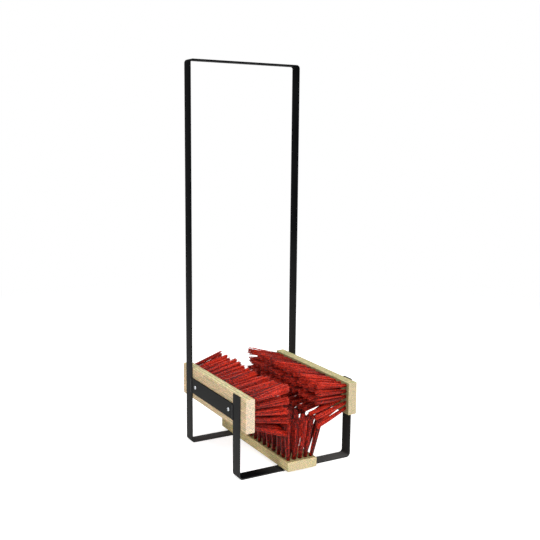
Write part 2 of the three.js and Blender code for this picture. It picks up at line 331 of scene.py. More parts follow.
@dataclass(frozen=True)
class RawBeech:
    """Planed raw beech: pale cream, with soft growth rings, fine fibres, small brown ray
    flecks along the grain, open pores everywhere and sawn end grain of its own tones.

    The face that holds the tufts is darkened to a greenish brown, which is painted shade between
    the tufts, and the top can be tinted, which is painted light on the top.
    """

    name: str = "raw_planed_beech"
    planed: tuple[str, str] = ("#dccaa2", "#bea67a")
    planed_stops: Pair = (0.37, 0.60)
    fibre_share: float = 0.60
    sawn: tuple[str, str] = ("#dccab2", "#cbb598")
    sawn_stops: Pair = (0.2, 0.9)
    sawn_cosines: Pair = (0.55, 0.85)
    fleck: str = "#93764e"
    fleck_range: Pair = (0.66, 0.74)
    fleck_share: float = 0.55
    soil: str = "#776c44"
    soil_share: float = 0.6
    top_tint: Point = (1.0, 1.0, 1.0)
    face_cosines: Pair = (0.85, 0.97)
    roughness: float = 0.78
    specular: float = 0.25
    ring_spacing: float = 3.4 * MM
    ring_waviness: float = 3.0
    ring_wave_scale: float = 0.35
    # Real fibres, flecks and pores are well under a millimetre wide, which is too fine to
    # show in the render, so they are drawn as coarse as they need to be.
    fibre: Point = (2.8 * MM, 42 * MM, 2.8 * MM)
    fibre_depth: float = 0.12 * MM
    fibre_strength: float = 0.5
    fleck_cell: Point = (2.0 * MM, 9 * MM, 2.0 * MM)
    pore_cell: Point = (1.8 * MM, 11 * MM, 1.8 * MM)
    pore_range: Pair = (0.3, 0.7)
    pore_tint: float = 0.35
    pore_contrast: float = 0.19

    def material(self, block: str, pith: Point, face: Point) -> Material:
        """Builds the wood of one block, with its rings centred on the pith.

        Args:
            block: Name of the block.
            pith: Point in metres that the growth rings are centred on.
            face: Direction of the face that holds the tufts.

        Returns:
            The finish.
        """
        material, tree = new_material(f"{self.name}_{block}")
        # A ring texture's period is 2 pi / 20 at scale 1.
        rings = add_node(tree, "TexWave", {
            "Vector": stretched(tree, 1.0, tuple(-value for value in pith)),
            "Scale": math.tau / 20 / self.ring_spacing, "Distortion": self.ring_waviness,
            "Detail": 2.0, "Detail Scale": self.ring_wave_scale,
        }, "Fac", wave_type="RINGS", rings_direction="Y", wave_profile="SAW")
        fibres = add_node(tree, "TexNoise", {
            "Vector": stretched(tree, self.fibre, pith), "Scale": 1.0, "Detail": 3.0,
        })
        flecks = add_node(tree, "TexNoise", {
            "Vector": stretched(tree, self.fleck_cell, pith), "Scale": 1.0, "Detail": 1.0,
        })
        blend = add_node(tree, "Mix", {0: self.fibre_share, 2: rings, 3: fibres})
        planed = add_node(tree, "ValToRGB", [blend], stops=zip(self.planed_stops, self.planed))
        spots = add_node(tree, "MapRange", [flecks, *self.fleck_range, 0.0, self.fleck_share])
        flecked = add_node(tree, "Mix", {0: spots, 6: planed, 7: linear(self.fleck)},
                           data_type="RGBA")
        sawn = add_node(tree, "ValToRGB", [rings], stops=zip(self.sawn_stops, self.sawn))
        is_end = facing(tree, (0, 1, 0), self.sawn_cosines, both_ways=True)
        colour = add_node(tree, "Mix", {0: is_end, 6: flecked, 7: sawn}, data_type="RGBA")
        pores = add_node(tree, "TexNoise", {
            "Vector": stretched(tree, self.pore_cell), "Scale": 1.0, "Detail": 1.0,
        })
        # The noise's colours lie round one half, so this varies each channel round one.
        tint = [pores.node.outputs["Color"], (2 * self.pore_tint,) * 3,
                (1 - self.pore_tint,) * 3]
        tinted = add_node(tree, "VectorMath", tint, operation="MULTIPLY_ADD")
        toned = add_node(tree, "MapRange", [
            pores, *self.pore_range, 1 - self.pore_contrast, 1 + self.pore_contrast,
        ])
        pored = add_node(tree, "VectorMath", {0: tinted, "Scale": toned}, operation="SCALE")
        speckled = add_node(tree, "VectorMath", [colour, pored], operation="MULTIPLY")
        # Painted light on the top: its colour is multiplied by the top's tint.
        is_top = facing(tree, (0, 0, 1), self.face_cosines)
        lit_top = add_node(tree, "Mix", {0: is_top, 6: speckled, 7: (*self.top_tint, 1.0)},
                        data_type="RGBA", blend_type="MULTIPLY")
        # Painted shade between the tufts: the face that holds them is darkened to a greenish
        # brown.
        shaded_face = facing(tree, face, self.face_cosines, self.soil_share)
        final = add_node(tree, "Mix", {0: shaded_face, 6: lit_top, 7: linear(self.soil)},
                         data_type="RGBA")
        close_material(tree, {
            "Base Color": final, "Roughness": self.roughness,
            "Specular IOR Level": self.specular,
        }, fibres, self.fibre_depth, self.fibre_strength)
        return material


@dataclass(frozen=True)
class RedBristlePlastic:
    """Extruded polypropylene filaments: deep red, half glossy, each of its own shade, with
    fine dark crimps along it and painted shade towards its root."""

    name: str = "red_polypropylene_filament"
    tones: tuple[str, ...] = ("#460905", "#b11b0c", "#e5391e")
    tone_stops: tuple[float, ...] = (0.0, 0.5, 1.0)
    crimp_size: float = 2.8 * MM
    crimp_depth: float = 1.7
    roughness: float = 0.42
    specular: float = 0.25

    def material(self) -> Material:
        """Builds the plastic: the attribute "shade" picks each filament's red.

        Returns:
            The finish.
        """
        material, tree = new_material(self.name)
        shade = add_node(tree, "Attribute", output="Fac", attribute_name="shade")
        crimps = add_node(tree, "TexNoise", {
            "Vector": stretched(tree, self.crimp_size), "Scale": 1.0, "Detail": 2.0,
        })
        change = add_node(tree, "MapRange", [crimps, 0, 1, -self.crimp_depth, self.crimp_depth])
        mottled = add_node(tree, "Math", [shade, change], use_clamp=True)
        colour = add_node(tree, "ValToRGB", [mottled], stops=zip(self.tone_stops, self.tones))
        close_material(tree, {
            "Base Color": colour, "Roughness": self.roughness,
            "Specular IOR Level": self.specular,
        })
        return material


@dataclass(frozen=True)
class StudioFloor:
    """Matt white studio floor that is seen as white, with the object's soft shadow."""

    name: str = "white_studio_floor"
    tone: str = "#ececec"
    lift: float = 0.70
    shadow_reach: float = 0.9
    white_from: float = 2.2

    def material(self) -> Material:
        """Builds the floor: a matt white that glows for rays that reach the eye, and more
        so with the distance from the middle, until it is as white as the sky.

        Returns:
            The finish.
        """
        material, tree = new_material(self.name)
        shown = seen(tree)
        strength = add_node(tree, "Math", [shown, self.lift], operation="MULTIPLY")
        glow = add_node(tree, "Emission", [WHITE, strength])
        matt = add_node(tree, "BsdfDiffuse", [linear(self.tone)])
        near = add_node(tree, "AddShader", [matt, glow])
        place = add_node(tree, "TexCoord", output="Object")
        distance = add_node(tree, "VectorMath", [place], operation="LENGTH")
        fade = add_node(tree, "MapRange", [distance, self.shadow_reach, self.white_from],
                        interpolation_type="SMOOTHSTEP")
        share = add_node(tree, "Math", [fade, shown], operation="MULTIPLY")
        far = add_node(tree, "Emission", [WHITE, 1.0])
        add_node(tree, "OutputMaterial", [add_node(tree, "MixShader", [share, near, far])])
        return material


# Meshes from arrays

def grid_faces(rows: int, columns: int, closed: bool = False) -> Array:
    """Quads of a grid of points that is stored row by row.

    Args:
        rows: Number of rows of points.
        columns: Number of points in a row.
        closed: Whether the last column joins the first.

    Returns:
        Four corner numbers a face.
    """
    here = np.arange(columns if closed else columns - 1)
    beside = (here + 1) % columns
    start = np.arange(rows - 1)[:, None] * columns
    quads = [start + here, start + beside, start + columns + beside, start + columns + here]
    return np.stack(quads, axis=-1).reshape(-1, 4)


def rounded_section(half_width: float, half_height: float, radius: float,
                    steps: int) -> tuple[Array, Array]:
    """Rectangle with rounded corners: its corners' centres plus the radius times the normal.

    Args:
        half_width: Half of the size along the first axis.
        half_height: Half of the size along the second axis.
        radius: Radius of the corners.
        steps: Flats in each corner.

    Returns:
        Points and outward normals, counter-clockwise, each an array of pairs.
    """
    corner = np.repeat(np.arange(4), steps + 1)
    angle = (corner + np.tile(np.linspace(0, 1, steps + 1), 4)) * math.pi / 2
    signs = np.array([(1, 1), (-1, 1), (-1, -1), (1, -1)])[corner]
    normals = np.stack([np.cos(angle), np.sin(angle)], axis=1)
    centres = signs * (half_width - radius, half_height - radius)
    return centres + radius * normals, normals


def make_object(name: str, points: Array, faces: Sequence[Array], material: Material,
                merge: bool = True, sharp: float = 35.0,
                shade: Array | None = None) -> Object:
    """Puts arrays into a mesh and shows it as one object at the origin.

    Args:
        name: Name of the object.
        points: Corner points in metres.
        faces: Arrays of faces, each with its own number of corners.
        material: Finish of the whole object.
        merge: Whether equal points become one and the faces are turned outwards.
        sharp: Angle in degrees past which an edge stays sharp; 180 for none.
        shade: One number a point for the attribute "shade".

    Returns:
        The new object.
    """
    mesh = bpy.data.meshes.new(name)
    corners = np.concatenate([group.ravel() for group in faces])
    counts = np.concatenate([np.full(len(group), group.shape[1]) for group in faces])
    starts = np.concatenate([[0], np.cumsum(counts)[:-1]])
    mesh.vertices.add(len(points))
    mesh.vertices.foreach_set("co", np.asarray(points, dtype=np.float32).ravel())
    mesh.loops.add(len(corners))
    mesh.loops.foreach_set("vertex_index", corners.astype(np.int32))
    mesh.polygons.add(len(starts))
    mesh.polygons.foreach_set("loop_start", starts.astype(np.int32))
    mesh.update(calc_edges=True)
    if shade is not None:
        layer = mesh.attributes.new("shade", "FLOAT", "POINT")
        layer.data.foreach_set("value", shade.astype(np.float32))
    if merge:
        build = bmesh.new()
        build.from_mesh(mesh)
        bmesh.ops.remove_doubles(build, verts=build.verts, dist=MERGE_DISTANCE)
        bmesh.ops.recalc_face_normals(build, faces=build.faces)
        build.to_mesh(mesh)
        build.free()
    mesh.shade_smooth()
    if sharp < 180:
        mesh.set_sharp_from_angle(angle=math.radians(sharp))
    mesh.materials.append(material)
    thing = bpy.data.objects.new(name, mesh)
    bpy.context.scene.collection.objects.link(thing)
    return thing


def make_piece(name: str, node: str, slot: str, *shape: Any, **shading: Any) -> None:
    """Makes a piece that stands for its CAD node, and reports it.

    Args:
        name: Name of the piece.
        node: CAD node that it replaces.
        slot: Material slot of the record; not used.
        shape: Points, faces and material, as make_object takes them.
        shading: What else make_object takes.
    """
    piece = make_object(name, *shape, **shading)
    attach(piece, "root")
    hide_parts(node)
    LOG.info("%s replaces %s: %d faces", name, node, len(piece.data.polygons))


def node_face(node: str, out: Array) -> tuple[Array, Array]:
    """Face of a CAD node that looks along one axis.

    Args:
        node: Name of the node.
        out: Direction of the face.

    Returns:
        The face's middle and the size of the whole node, in metres.
    """
    low, high = (np.array(corner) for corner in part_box(node))
    face = np.where(out > 0, high, low)
    return np.where(out != 0, face, (low + high) / 2), high - low


# Bent bars

@dataclass(frozen=True)
class BentBar:
    """Flat bar bent to a path in the X-Z plane.

    A point of its skin is the path's point, plus the section's first coordinate along the
    path's outward normal, plus the section's second coordinate along Y.
    """

    name: str
    node: str
    closed_loop: bool
    inside_bend: float
    width: float = 30 * MM
    thickness: float = 3 * MM
    edge_radius: float = 0.55 * MM
    edge_steps: int = 4
    slit: float = 3.6 * MM
    bend_steps: int = 18
    cut_arris: float = 0.35 * MM

    def path(self) -> tuple[Array, Array]:
        """Middle line of the bar: straight runs joined by quarter circles.

        Returns:
            Points and outward normals, as pairs of X and Z.
        """
        low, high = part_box(self.node)
        radius = self.inside_bend + self.thickness / 2
        reach = high.x - self.thickness / 2 - radius
        top = high.z - self.thickness / 2 - radius
        bottom = low.z + self.thickness / 2 + radius
        quarter = np.linspace(0, math.pi / 2, self.bend_steps + 1)
        if self.closed_loop:
            start, corners = -math.pi / 2, [(reach, bottom), (reach, top),
                                            (-reach, top), (-reach, bottom)]
            ends = [(self.slit / 2, bottom - radius), (-self.slit / 2, bottom - radius)]
        else:
            start, corners = math.pi, [(-reach, bottom), (reach, bottom)]
            ends = [(-reach - radius, high.z), (reach + radius, high.z)]
        angles = [start + index * math.pi / 2 + quarter for index in range(len(corners))]
        angle = np.concatenate([angles[0][:1], *angles, angles[-1][-1:]])
        normals = np.stack([np.cos(angle), np.sin(angle)], axis=1)
        centres = np.repeat(np.array(corners), self.bend_steps + 1, axis=0)
        points = np.concatenate([ends[:1], centres + radius * normals[1:-1], ends[1:]])
        return points, normals

    def build(self, paint: Material) -> None:
        """Sweeps the section along the path and closes the two cut ends.

        Args:
            paint: Finish of the bar.
        """
        low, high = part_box(self.node)
        points, normals = self.path()
        tangents = np.stack([-normals[:, 1], normals[:, 0]], axis=1)
        section, outwards = rounded_section(self.thickness / 2, self.width / 2,
                                            self.edge_radius, self.edge_steps)
        # At each end, one row stands back by the arris and a smaller one closes the cut.
        points = np.concatenate([points[:1], points, points[-1:]])
        normals = np.concatenate([normals[:1], normals, normals[-1:]])
        points[1] += self.cut_arris * tangents[0]
        points[-2] -= self.cut_arris * tangents[-1]
        rows = np.repeat(section[None], len(points), axis=0)
        rows[0] = rows[-1] = section - self.cut_arris * outwards
        skin = np.empty((len(points), len(section), 3))
        skin[..., [0, 2]] = points[:, None] + normals[:, None] * rows[..., :1]
        skin[..., 1] = (low.y + high.y) / 2 + rows[..., 1]
        around = len(section)
        caps = np.stack([np.arange(around), np.arange(around) + around * (len(points) - 1)])
        faces = [grid_faces(len(points), around, closed=True), caps]
        make_piece(self.name, self.node, "frame_paint", skin.reshape(-1, 3), faces, paint)


# Boards and rails with holes

class Side(Enum):
    """Where a brush stands: its axes across the block, along it and out of its face."""

    LEFT = ((0, 0, -1), (0, 1, 0), (1, 0, 0))
    RIGHT = ((0, 0, 1), (0, 1, 0), (-1, 0, 0))
    LOWER = ((1, 0, 0), (0, 1, 0), (0, 0, 1))

    @property
    def axes(self) -> Array:
        """The three axes as the rows of a matrix."""
        return np.array(self.value, dtype=float)

    @property
    def key(self) -> str:
        """The brush's name, as its CAD nodes start with it."""
        return self.name.lower()

    def screws(self, origin: Array) -> Array:
        """Centres of the two screws, of which the rear one mirrors the front one.

        Args:
            origin: Middle of the block or rail that they go through.

        Returns:
            Pairs of distances from the origin, across the block and along it.
        """
        middle = np.mean([np.array(corner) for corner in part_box(f"{self.key}_front_screw")],
                         axis=0)
        across, along, _ = (middle - origin) @ self.axes.T
        return np.array([(across, along), (across, -along)])


class End(Enum):
    """End of a rail, as the names of its CAD nodes have it."""

    FRONT = "front"
    REAR = "rear"


@dataclass(frozen=True)
class Holes:
    """Round holes in a face: their centres, radius and depth, and whether they end."""

    centres: Array
    radius: float
    depth: float
    blind: bool


def drilled_face(across: Array, along: Array, holes: Holes,
                 steps: int) -> tuple[Array, list[Array]]:
    """Flat face cut into cells, some with a round hole that has its wall and its bottom.

    The border of each cell has steps points a side. In a cell with a hole, rings join the
    border to the hole's rim, the rim to the foot of its wall, and a fan closes a blind one.

    Args:
        across: Borders of the cells across the face.
        along: Borders of the cells along the face.
        holes: Holes of one size, at most one a cell.
        steps: Points on each side of a cell.

    Returns:
        Points and arrays of faces, in the face's own axes.
    """
    count = 4 * steps
    corner = np.arange(count) / steps
    unit = np.stack([np.interp(corner, range(5), (0, 1, 1, 0, 0)),
                     np.interp(corner, range(5), (0, 0, 1, 1, 0))], axis=1)
    low, high = (np.stack(np.meshgrid(across[chosen], along[chosen]), axis=-1).reshape(-1, 1, 2)
                 for chosen in (slice(None, -1), slice(1, None)))
    border = np.zeros((len(low), count, 3))
    border[..., :2] = low + (high - low) * unit
    numbers = np.arange(len(low) * count).reshape(-1, count)
    cell = ((holes.centres > low) & (holes.centres < high)).all(axis=-1).argmax(axis=0)
    # A border starts at its cell's lowest corner, which lies three eighths of a turn back.
    angle = math.tau * (np.arange(count) / count - 3 / 8)
    rim = np.zeros((len(cell), count, 3))
    rim[..., :2] = holes.centres[:, None] + holes.radius * np.stack(
        [np.cos(angle), np.sin(angle)], axis=1)
    foot = rim - (0, 0, holes.depth)
    points = np.concatenate([border.reshape(-1, 3), rim.reshape(-1, 3), foot.reshape(-1, 3)])
    rim_number = numbers.size + np.arange(len(cell) * count).reshape(-1, count)
    foot_number = rim_number + len(cell) * count
    bands = [(numbers[cell], rim_number)]
    if holes.depth > 0:
        bands.append((rim_number, foot_number))
    faces = [np.delete(numbers, cell, axis=0)]
    for outer, inner in bands:
        quads = [outer, np.roll(outer, -1, axis=1), np.roll(inner, -1, axis=1), inner]
        faces.append(np.stack(quads, axis=-1).reshape(-1, 4))
    if holes.blind:
        faces.append(foot_number)
    return points, [group for group in faces if len(group)]


@dataclass(frozen=True)
class Board:
    """Straight board with rounded long edges, broken end arrises and drilled faces.

    Its own axes run across it, along it and out of its face, which lies at zero.
    """

    width: float
    length: float
    thickness: float
    edge_radius: float
    end_arris: float
    across: Array
    along: Array
    face_holes: Holes
    back_holes: Holes
    steps: int = 5
    edge_steps: int = 4

    def shape(self) -> tuple[Array, list[Array]]:
        """Face, back, a strip round each long edge, and at each end its arris and its cut.

        Returns:
            Points in the board's own axes, and arrays of faces.
        """
        half = self.width / 2 - self.edge_radius
        reach = self.length / 2 - self.end_arris
        across = np.concatenate([[-half], self.across, [half]])
        along = np.concatenate([[-reach], self.along, [reach]])
        face = drilled_face(across, along, self.face_holes, self.steps)
        back = drilled_face(across, along, self.back_holes, self.steps)
        back[0][:, 2] = -self.thickness - back[0][:, 2]
        groups = [face, back]
        fine_across, fine_along = self.refine(across), self.refine(along)
        section, outwards = self.section(fine_across)
        around = len(section)
        first = len(fine_across) - 1
        strip = np.arange(first, first + 2 * (self.edge_steps + 1))
        for chosen in (strip, (strip + around // 2) % around):
            groups.append((self.carried(section[chosen], fine_along),
                           [grid_faces(len(fine_along), len(strip))]))
        ends = np.stack([section, section - self.end_arris * outwards])
        cap = np.arange(around)[None] + around
        for end in (-1, 1):
            groups.append((self.carried(ends, end * np.array([reach, self.length / 2])),
                           [grid_faces(2, around, closed=True), cap]))
        totals = np.cumsum([0] + [len(points) for points, _ in groups])
        faces = [own + total for total, (_, group) in zip(totals, groups) for own in group]
        return np.concatenate([points for points, _ in groups]), faces

    def refine(self, borders: Array) -> Array:
        """Cuts each cell's side into its steps, so that neighbours share their points.

        Args:
            borders: Borders of the cells one way.

        Returns:
            The points of all sides.
        """
        parts = np.arange(self.steps) / self.steps
        inner = borders[:-1, None] + np.diff(borders)[:, None] * parts
        return np.append(inner.ravel(), borders[-1])

    def section(self, fine_across: Array) -> tuple[Array, Array]:
        """Outline of the board's end: face, edge, back and edge, with outward normals.

        Args:
            fine_across: Points across the face.

        Returns:
            Points and normals, as pairs across the board and out of its face.
        """
        edges, outwards = rounded_section(self.width / 2, self.thickness / 2,
                                          self.edge_radius, self.edge_steps)
        # From the end of the face, clockwise down the right edge and up the left one.
        order = np.roll(np.arange(len(edges))[::-1], self.edge_steps + 1)
        right, left = np.split(order, 2)
        face = np.stack([fine_across[1:-1], np.full(len(fine_across) - 2,
                                                    self.thickness / 2)], axis=1)
        up = np.tile([0.0, 1.0], (len(face), 1))
        points = np.concatenate([face, edges[right], face[::-1] * (1, -1), edges[left]])
        points[:, 1] -= self.thickness / 2
        normals = np.concatenate([up, outwards[right], -up, outwards[left]])
        # The first point of the outline is the face's corner, so that edges start evenly.
        return np.roll(points, 1, axis=0), np.roll(normals, 1, axis=0)

    def carried(self, outline: Array, stations: Array) -> Array:
        """Carries an outline along the board.

        Args:
            outline: Pairs across the board and out of its face, for all stations or each.
            stations: Distances from the board's middle.

        Returns:
            Points, station by station.
        """
        grid = np.empty((len(stations), outline.shape[-2], 3))
        grid[..., [0, 2]] = outline
        grid[..., 1] = stations[:, None]
        return grid.reshape(-1, 3)


@dataclass(frozen=True)
class Stance:
    """How the tufts of a brush have settled with use, in degrees and millimetres.

    The angles are given at a few columns of tufts, and change evenly between these: the
    leans of each row towards the brush's own across axis, and the flares of a whole column
    along the block. The radii of the tips, in the front column and behind it, and the
    unevenness, which is the usual stray of both angles, are of each row's tufts. Some tufts
    are tighter than others by up to the radius share, and shorter by the usual wear. The
    row shift moves all rows across the block.
    """

    at_columns: tuple[int, ...]
    leans: tuple[tuple[float, ...], ...]
    flares: tuple[float, ...]
    front_radii: tuple[float, ...]
    tip_radii: tuple[float, ...]
    unevenness: tuple[float, ...]
    row_shift: float = 0.0
    radius_share: float = 0.0
    wear: float = 0.0

    def turns(self, columns: int) -> Array:
        """Leans and flares of all tufts.

        Args:
            columns: Number of columns of tufts.

        Returns:
            A lean and a flare in degrees a tuft, row by row.
        """
        column = np.arange(columns)
        flare = np.interp(column, self.at_columns, self.flares)
        return np.concatenate([
            np.stack([np.interp(column, self.at_columns, lean), flare], axis=1)
            for lean in self.leans
        ])


@dataclass(frozen=True)
class Brush:
    """Block of one brush with its tufts."""

    side: Side
    wood: RawBeech
    pith: Point
    stance: Stance
    block_width: float = 73 * MM
    block_length: float = 320 * MM
    block_thickness: float = 21 * MM
    block_radius: float = 2 * MM
    block_arris: float = 0.8 * MM
    rows: int = 5
    columns: int = 15
    row_pitch: float = 14 * MM
    column_pitch: float = 21 * MM
    hole_radius: float = 3.9 * MM
    hole_depth: float = 5 * MM
    pilot_radius: float = 2.3 * MM
    pilot_depth: float = 13.7 * MM
    bristle_length: float = 83.7 * MM
    level_lean: float = 12.0
    filaments: int = 46
    filament_width: float = 1.0 * MM
    root_radius: float = 3.4 * MM
    root_gap: float = 0.5 * MM
    tip_stray: float = 0.18
    bend: float = 0.65 * MM
    trim_spread: float = 1.4 * MM
    segments: int = 4
    shade: float = 0.62
    shade_spread: float = 0.30
    tuft_shade_spread: float = 0.10
    # Painted shade darkens the filaments towards their roots.
    root_dirt: float = 0.55
    root_dirt_power: float = 1.5
    # Painted light lightens the tips, and painted shade darkens them where the value is below
    # zero.
    tip_wear: float = 0.15
    tip_wear_power: int = 4

    def origin(self) -> Array:
        """Middle of the block's face, one thickness out from the back of the CAD block."""
        out = self.side.axes[2]
        return node_face(f"{self.side.key}_brush_block", -out)[0] + out * self.block_thickness

    def place(self, points: Array) -> Array:
        """Turns points from the brush's own axes to the object's."""
        return self.origin() + points @ self.side.axes

    def tuft_centres(self) -> Array:
        """Centres of the tufts.

        Returns:
            Pairs across and along the face, row by row.
        """
        row = (np.arange(self.rows) - (self.rows - 1) / 2) * self.row_pitch
        row += self.stance.row_shift * MM
        column = (np.arange(self.columns) - (self.columns - 1) / 2) * self.column_pitch
        across, along = np.meshgrid(row, column, indexing="ij")
        return np.stack([across.ravel(), along.ravel()], axis=1)

    def build_block(self) -> None:
        """Cuts the block with a hole for each tuft and two pilot holes in its back."""
        centres = self.tuft_centres()
        rows, columns = np.unique(centres[:, 0]), np.unique(centres[:, 1])
        board = Board(
            self.block_width, self.block_length, self.block_thickness, self.block_radius,
            self.block_arris, (rows[1:] + rows[:-1]) / 2, (columns[1:] + columns[:-1]) / 2,
            Holes(centres, self.hole_radius, self.hole_depth, blind=True),
            Holes(self.side.screws(self.origin()), self.pilot_radius, self.pilot_depth,
                  blind=True),
        )
        points, faces = board.shape()
        wood = self.wood.material(self.side.key, self.pith, tuple(self.side.axes[2]))
        make_piece(f"{self.side.key}_block_wood", f"{self.side.key}_brush_block", "wood",
                   self.place(points), faces, wood)

    def tips(self, rng: np.random.Generator) -> tuple[Array, Array, Array]:
        """Discs of the tufts' tips.

        A tuft reaches as far as its height times the tangents of its turns. One that leans
        past the level lean has kept its length, and the others were trimmed level.

        Args:
            rng: Source of the brush's random numbers.

        Returns:
            Reach across and along the block, height, and radius, of each tuft.
        """
        stance, tufts = self.stance, self.rows * self.columns
        stray = np.repeat(stance.unevenness, self.columns)[:, None]
        turns = np.radians(stance.turns(self.columns) + stray * rng.normal(0, 1, (tufts, 2)))
        tilt = np.cos(np.hypot(turns[:, 0], turns[:, 1]))
        level = math.cos(math.radians(self.level_lean))
        height = self.bristle_length * np.minimum(1, tilt / level)
        reach = np.tan(turns) * height[:, None]
        radius = np.repeat(stance.tip_radii, self.columns) * MM
        radius[::self.columns] = np.array(stance.front_radii) * MM
        worn = np.random.default_rng(WEAR_SEED)
        radius *= 1 - stance.radius_share * worn.uniform(0, 1, tufts)
        height -= stance.wear * MM * np.abs(worn.normal(0, 1, tufts))
        return reach, height, radius

    def spines(self, rng: np.random.Generator) -> Array:
        """Middle lines of the filaments.

        A filament runs from its place in the root's disc to its place in the wider disc of
        the tip, and bows by a parabola between them. In a disc, the k-th filament lies at
        the square root of k times the golden angle. The trimmed ends stray a little.

        Args:
            rng: Source of the brush's random numbers.

        Returns:
            Points in the brush's own axes, by tuft, filament and step.
        """
        reach, height, tip_radius = self.tips(rng)
        centres = self.tuft_centres()[:, None]
        tufts, count = len(centres), self.filaments
        index = np.arange(count)
        radius, angle = np.sqrt((index + 0.5) / count), index * GOLDEN_ANGLE
        disc = radius[:, None] * np.stack([np.cos(angle), np.sin(angle)], axis=1)
        twist = rng.uniform(0, math.tau, tufts)
        turn = np.stack([np.cos(twist), -np.sin(twist), np.sin(twist), np.cos(twist)],
                        axis=1).reshape(-1, 2, 2)
        discs = np.einsum("tij,kj->tki", turn, disc)
        spread = discs + rng.normal(0, self.tip_stray, (tufts, count, 2))
        trim = height[:, None] + rng.normal(0, self.trim_spread, (tufts, count))
        bow = rng.normal(0, self.bend, (tufts, count, 2))
        root = centres + discs * self.root_radius
        tip = centres + reach[:, None] + spread * tip_radius[:, None, None]
        depth = np.full((tufts, count, 1), self.root_gap - self.hole_depth)
        start = np.concatenate([root, depth], axis=-1)
        stop = np.concatenate([tip, trim[..., None]], axis=-1)
        along = np.linspace(0, 1, self.segments + 1)
        spine = start[..., None, :] + (stop - start)[..., None, :] * along[:, None]
        spine[..., :2] += bow[..., None, :] * (4 * along * (1 - along))[:, None]
        return spine

    def build_tufts(self, plastic: Material) -> None:
        """Makes the filaments of every tuft, each ring of them with four corners.

        A filament's shade falls towards its root by painted shade and changes towards its
        tip by painted light and shade, each by a power of the distance along it.

        Args:
            plastic: Finish of the filaments.
        """
        rng = np.random.default_rng(SEED + list(Side).index(self.side))
        spine = self.spines(rng)
        tufts, count, rings = spine.shape[:3]
        quarter = np.arange(4) * math.pi / 2 + math.pi / 4
        ring = np.stack([np.cos(quarter), np.sin(quarter), np.zeros(4)], axis=1)
        skin = spine[..., None, :] + ring * self.filament_width / math.sqrt(2)
        first, last = np.arange(4), np.arange(4) + 4 * (rings - 1)
        quads = np.concatenate([grid_faces(rings, 4, closed=True), [first[::-1], last]])
        numbers = np.arange(tufts * count)[:, None, None] * (4 * rings) + quads
        shade = rng.normal(self.shade, self.shade_spread, (tufts, count))
        shade += rng.normal(0, self.tuft_shade_spread, (tufts, 1))
        along = np.linspace(0, 1, rings)
        # Painted shade darkens each filament towards its root.
        root_shading = self.root_dirt * (1 - along) ** self.root_dirt_power
        # Painted light at the tips, and painted shade where the setting is below zero.
        wear = self.tip_wear * along ** self.tip_wear_power
        shade = np.clip(shade[..., None] - root_shading + wear, 0, 1)
        make_piece(f"{self.side.key}_red_tufts", f"{self.side.key}_bristles", "bristles",
                   self.place(skin.reshape(-1, 3)), [numbers.reshape(-1, 4)], plastic,
                   merge=False, sharp=180, shade=np.repeat(shade.ravel(), 4))


@dataclass(frozen=True)
class Rail:
    """Flat bar that carries a block, with two through holes for its screws."""

    side: Side
    width: float = 35 * MM
    thickness: float = 3 * MM
    edge_radius: float = 0.55 * MM
    end_arris: float = 0.3 * MM
    hole_radius: float = 2.3 * MM
    hole_cell: float = 9 * MM

    def build(self, paint: Material) -> None:
        """Cuts and drills the rail where the CAD rail lies.

        Args:
            paint: Finish of the rail.
        """
        origin, size = node_face(f"{self.side.key}_rail", self.side.axes[2])
        centres = self.side.screws(origin)
        cells = np.sort(np.concatenate([centres[:, 1] - self.hole_cell,
                                        centres[:, 1] + self.hole_cell]))
        board = Board(
            self.width, size[1], self.thickness, self.edge_radius, self.end_arris,
            np.array([]), cells,
            Holes(centres, self.hole_radius, self.thickness, blind=False),
            Holes(centres, self.hole_radius, 0.0, blind=False),
        )
        points, faces = board.shape()
        make_piece(f"{self.side.key}_rail_bar", f"{self.side.key}_rail", "frame_paint",
                   origin + points @ self.side.axes, faces, paint)


# Screws and welds

